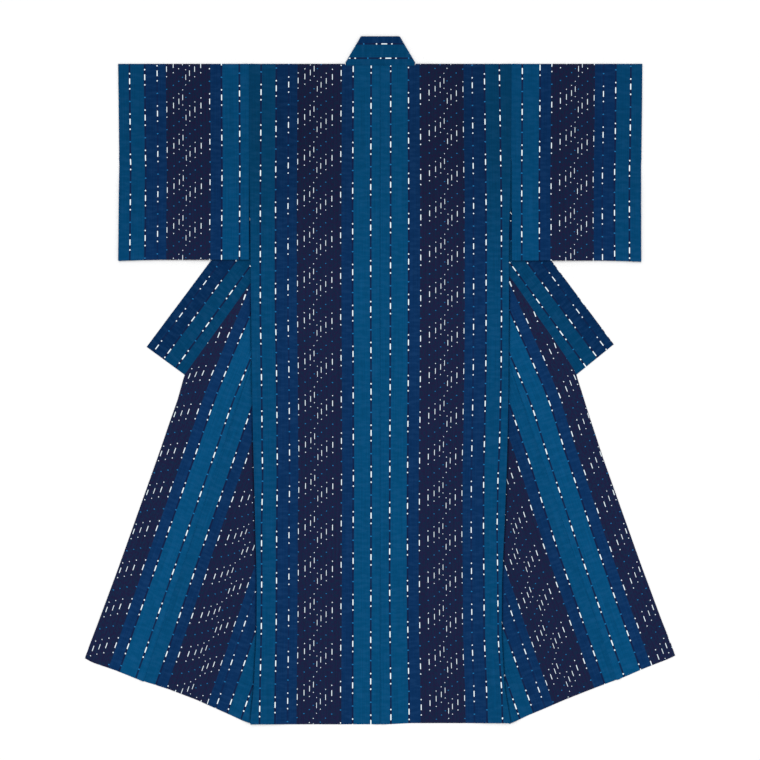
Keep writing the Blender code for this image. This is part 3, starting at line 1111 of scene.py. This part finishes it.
# Each piece's depth of dye in red, green and blue, and how much darker its top is drawn
BODY_DEPTH = (1.06, 1.06, 1.06)
OVERLAP_DEPTH = (1.15, 1.15, 1.15)
SLEEVE_DEPTH = (0.90, 1.05, 1.08)
COLLAR_DEPTH = (0.53, 0.87, 0.88)
BODY_SHADE = 0.34
BODY_SPREAD = 2.0
SLEEVE_SHADE = 0.17

# Where the mix node keeps its share and its two colours
COLOUR_MIX_SOCKETS = (0, 6, 7)


class Dye:
    """Builds one woven cloth's node tree."""

    def __init__(self, name):
        self.material = bpy.data.materials.new(name)
        self.material.use_nodes = True
        self.tree = self.material.node_tree
        self.shader = self.tree.nodes["Principled BSDF"]
        cloth = self.tree.nodes.new("ShaderNodeUVMap")
        cloth.uv_map = "Cloth"
        place = self.tree.nodes.new("ShaderNodeSeparateXYZ")
        self.tree.links.new(cloth.outputs[0], place.inputs[0])
        self.across = place.outputs[0]
        self.along = place.outputs[1]
        where = self.tree.nodes.new("ShaderNodeTexCoord")
        spread = self.tree.nodes.new("ShaderNodeSeparateXYZ")
        self.tree.links.new(where.outputs["Object"], spread.inputs[0])
        self.laid_up = spread.outputs[1]

    def feed(self, socket, value):
        """Sets a socket to a number or colour, or links it."""
        if isinstance(value, bpy.types.NodeSocket):
            self.tree.links.new(value, socket)
        elif isinstance(value, tuple) and len(value) == 3 and len(socket.default_value) == 4:
            socket.default_value = (*value, 1)
        else:
            socket.default_value = value

    def math(self, operation, first, second=0.0, third=0.0):
        """One arithmetic step."""
        node = self.tree.nodes.new("ShaderNodeMath")
        node.operation = operation
        for socket, value in zip(node.inputs, (first, second, third)):
            self.feed(socket, value)
        return node.outputs[0]

    def fade(self, value, full, none):
        """1 where a value is below full, and 0 where it is above none."""
        node = self.tree.nodes.new("ShaderNodeMapRange")
        node.interpolation_type = "SMOOTHSTEP"
        for label, number in (("Value", value), ("From Min", full), ("From Max", none),
                              ("To Min", 1.0), ("To Max", 0.0)):
            self.feed(node.inputs[label], number)
        return node.outputs["Result"]

    def noise(self, across, along, detail):
        """Noise over the cloth, as fine across and along as the two factors say."""
        place = self.tree.nodes.new("ShaderNodeCombineXYZ")
        self.feed(place.inputs[0], self.math("MULTIPLY", self.across, across))
        self.feed(place.inputs[1], self.math("MULTIPLY", self.along, along))
        node = self.tree.nodes.new("ShaderNodeTexNoise")
        node.noise_dimensions = "2D"
        node.inputs["Detail"].default_value = detail
        node.inputs["Scale"].default_value = 1.0
        self.tree.links.new(place.outputs[0], node.inputs["Vector"])
        return node.outputs["Fac"]

    def mix(self, share, first, second, blend="MIX"):
        """A share of one colour over another, or multiplied by it."""
        node = self.tree.nodes.new("ShaderNodeMix")
        node.data_type = "RGBA"
        node.blend_type = blend
        factor, colour_a, colour_b = (node.inputs[i] for i in COLOUR_MIX_SOCKETS)
        self.feed(factor, share)
        self.feed(colour_a, first)
        self.feed(colour_b, second)
        return node.outputs[2]

    def ramp(self, place, stops):
        """Steps over the loom's width, each holding its colour up to the next."""
        node = self.tree.nodes.new("ShaderNodeValToRGB")
        node.color_ramp.interpolation = "CONSTANT"
        elements = node.color_ramp.elements
        elements[0].position = 0.0
        elements[0].color = stops[0][1]
        elements.remove(elements[1])
        for position, colour in stops[1:]:
            elements.new(position).color = colour
        self.feed(node.inputs["Fac"], place)
        return node

    def split(self, colour):
        """A ramp's three colour numbers."""
        node = self.tree.nodes.new("ShaderNodeSeparateColor")
        self.tree.links.new(colour, node.inputs[0])
        return node.outputs[0], node.outputs[1], node.outputs[2]

    def reach(self, first, second):
        """The straight distance of two steps at right angles."""
        squares = self.math("MULTIPLY", first, first)
        return self.math("SQRT", self.math("MULTIPLY_ADD", second, second, squares))


def row_stops():
    """The ramp that gives each mark's stripe row, from halfway to the row before."""
    stops = []
    start = 0.0
    for row, following in zip(STRIPE_ROWS, STRIPE_ROWS[1:] + (None,)):
        stops.append((start / LOOM, (row.place, row.step, row.half_width, row.line)))
        if following:
            start = (row.place + following.place) / 2
    return stops


def band_stops(depth):
    """The ramp of the plain bands' colours."""
    return [(band.start / LOOM, (*[c * d for c, d in zip(band.colour, depth)], 1.0))
            for band in BANDS]


def ikat_marks(dye, step, half_width, aside, ragged):
    """The undyed dashes and dots, the pale blue dots, and the run from a dash's middle."""
    shifted = dye.math("ADD", dye.math("SUBTRACT", dye.along, step), 0.5)
    shifted = dye.math("MULTIPLY_ADD", ragged, RAGGED_SHIFT, shifted)
    phase = dye.math("FRACT", dye.math("SUBTRACT", shifted, RAGGED_SHIFT / 2))
    run = dye.math("MULTIPLY", dye.math("ABSOLUTE", dye.math("SUBTRACT", phase, 0.5)), REPEAT)

    def mark(distance):
        return dye.fade(dye.math("SUBTRACT", distance, half_width), *MARK_EDGE)

    past_dash = dye.math("MAXIMUM", dye.math("SUBTRACT", run, DASH_HALF), 0.0)
    past_dot = dye.math("MULTIPLY", dye.math("SUBTRACT", run, DOT_PLACE), DOT_SQUEEZE)
    dot = dye.math("SUBTRACT", dye.reach(past_dot, aside), DOT_SWELL)
    undyed = dye.math("MAXIMUM", mark(dye.reach(past_dash, aside)), mark(dot))
    past_blue = dye.math("MULTIPLY", dye.math("SUBTRACT", REPEAT / 2, run), BLUE_SQUEEZE)
    blue = mark(dye.math("SUBTRACT", dye.reach(past_blue, aside), BLUE_SWELL))
    return undyed, blue, run


def banded_ground(dye, bands, thread, mottle, shade, spread):
    """The plain bands: plum flecks in the navy, wear beside it, and streaks along the warp."""
    streak = dye.noise(*STREAKS)
    weft = dye.noise(*WEFT)
    in_navy = dye.math("MULTIPLY", dye.math("GREATER_THAN", dye.across, NAVY_START),
                       dye.math("LESS_THAN", dye.across, NAVY_END))
    plum = dye.math("MULTIPLY", in_navy, dye.fade(mottle, *PLUM_LIMITS))
    colour = dye.mix(plum, bands, PLUM_NAVY)
    plain = dye.math("SUBTRACT", 1.0, in_navy)
    worn = dye.math("MULTIPLY", dye.fade(weft, *WORN_LIMITS), plain)
    colour = dye.mix(dye.math("MULTIPLY", worn, WORN_SHARE), colour, WORN)
    uneven = dye.math("MULTIPLY_ADD", weft, WEFT_TONE, -WEFT_TONE / 2)
    uneven = dye.math("MULTIPLY", uneven, plain)
    tone = dye.math("ADD", dye.math("MULTIPLY_ADD", streak, STREAK_TONE, BASE_TONE),
                    dye.math("MULTIPLY_ADD", thread, THREAD_TONE, uneven))
    # Darker towards the top of the laid garment, by its height in the scene, and less so across
    # from the selvage
    top = dye.fade(dye.laid_up, *SHADED_TOP)
    top_darkening = dye.math("MULTIPLY", top, dye.math("MULTIPLY_ADD", dye.across, -shade * spread, shade))
    tone = dye.math("MULTIPLY", tone, dye.math("SUBTRACT", 1.0, top_darkening))
    return dye.mix(1.0, colour, tone, "MULTIPLY")


def dark_line(dye, aside, run, strength):
    """The line under a row of marks, a little paler away from its dashes."""
    near_mark = dye.fade(run, *PALE_LINE)
    depth_there = dye.math("MULTIPLY_ADD", near_mark, 1 - PALE_LINE_DEPTH, PALE_LINE_DEPTH)
    line = dye.math("MULTIPLY", dye.fade(aside, *LINE_EDGE), strength)
    return dye.math("MULTIPLY", line, depth_there)


def woven_surface(dye, height):
    """A dull cotton surface, with the weave as a bump."""
    dye.shader.inputs["Roughness"].default_value = 0.88
    dye.shader.inputs["Specular IOR Level"].default_value = 0.03
    dye.shader.inputs["Sheen Weight"].default_value = 0.01
    weave = dye.tree.nodes.new("ShaderNodeBump")
    weave.inputs["Strength"].default_value = 0.25
    weave.inputs["Distance"].default_value = 0.0003
    dye.feed(weave.inputs["Height"], height)
    dye.feed(dye.shader.inputs["Normal"], weave.outputs["Normal"])


def kasuri_cotton(name, depth, shade=0.0, spread=0.0):
    """Striped indigo cotton: bands, dark lines, undyed ikat marks and small pale blue dots.

    Its top as laid may be drawn darker, less so across from the selvage.
    """
    dye = Dye(name)
    loom = dye.math("DIVIDE", dye.across, LOOM)
    rows = dye.ramp(loom, row_stops())
    place, step, half_width = dye.split(rows.outputs["Color"])
    bands = dye.ramp(loom, band_stops(depth)).outputs["Color"]
    thread = dye.noise(*THREADS)
    mottle = dye.noise(*MOTTLE)

    aside = dye.math("ABSOLUTE", dye.math("SUBTRACT", dye.across, place))
    undyed, blue, run = ikat_marks(dye, step, half_width, aside, dye.noise(*RAGGED))
    colour = banded_ground(dye, bands, thread, mottle, shade, spread)
    colour = dye.mix(dark_line(dye, aside, run, rows.outputs["Alpha"]), colour, LINE_NAVY)
    colour = dye.mix(blue, colour, MARK_BLUE)
    colour = dye.mix(undyed, colour, UNDYED)
    dye.feed(dye.shader.inputs["Base Color"], colour)
    woven_surface(dye, dye.math("ADD", thread, mottle))
    return dye.material


def pale_floor():
    """A plain white surface under the garment."""
    bpy.ops.mesh.primitive_plane_add(size=FLOOR_SIZE)
    floor = bpy.context.object
    floor.name = "floor"
    paint = bpy.data.materials.new("pale_floor")
    paint.use_nodes = True
    shader = paint.node_tree.nodes["Principled BSDF"]
    shader.inputs["Base Color"].default_value = (0.90, 0.90, 0.90, 1)
    shader.inputs["Roughness"].default_value = 0.9
    shader.inputs["Specular IOR Level"].default_value = 0.1
    floor.data.materials.append(paint)


def studio_light():
    """A bright white surround and one broad soft light, nearly overhead, from the upper left."""
    world = bpy.data.worlds.new("surround")
    bpy.context.scene.world = world
    world.use_nodes = True
    background = world.node_tree.nodes["Background"]
    background.inputs["Color"].default_value = (1, 1, 1, 1)
    background.inputs["Strength"].default_value = SURROUND_LIGHT
    bpy.ops.object.light_add(type="SUN", location=(-3, 2, 4))
    key = bpy.context.object
    key.name = "key_light"
    key.data.energy = KEY_LIGHT
    key.data.angle = KEY_ANGLE
    key.rotation_euler = KEY_WAY.to_track_quat("-Z", "Y").to_euler()


def camera_above():
    """The photograph's view, straight down on the middle of the garment."""
    bpy.ops.object.camera_add(location=(0, 0, VIEW_WIDTH * LENS / SENSOR))
    camera = bpy.context.object
    camera.name = "camera"
    camera.data.lens = LENS
    camera.data.sensor_width = SENSOR
    camera.data.clip_end = 100
    bpy.context.scene.camera = camera
    bpy.context.scene.view_settings.view_transform = "Standard"


pale_floor()
body_cotton = kasuri_cotton("body_cotton", BODY_DEPTH, BODY_SHADE, BODY_SPREAD)
okumi_cotton = kasuri_cotton("okumi_cotton", OVERLAP_DEPTH)
sleeve_cotton = kasuri_cotton("sleeve_cotton", SLEEVE_DEPTH, SLEEVE_SHADE)
collar_cotton = kasuri_cotton("collar_cotton", COLLAR_DEPTH)
for half_of_garment in SIDES:
    body(half_of_garment, body_cotton)
    overlap_panel(half_of_garment, okumi_cotton)
    sleeve(half_of_garment, sleeve_cotton)
collar(collar_cotton)
studio_light()
camera_above()
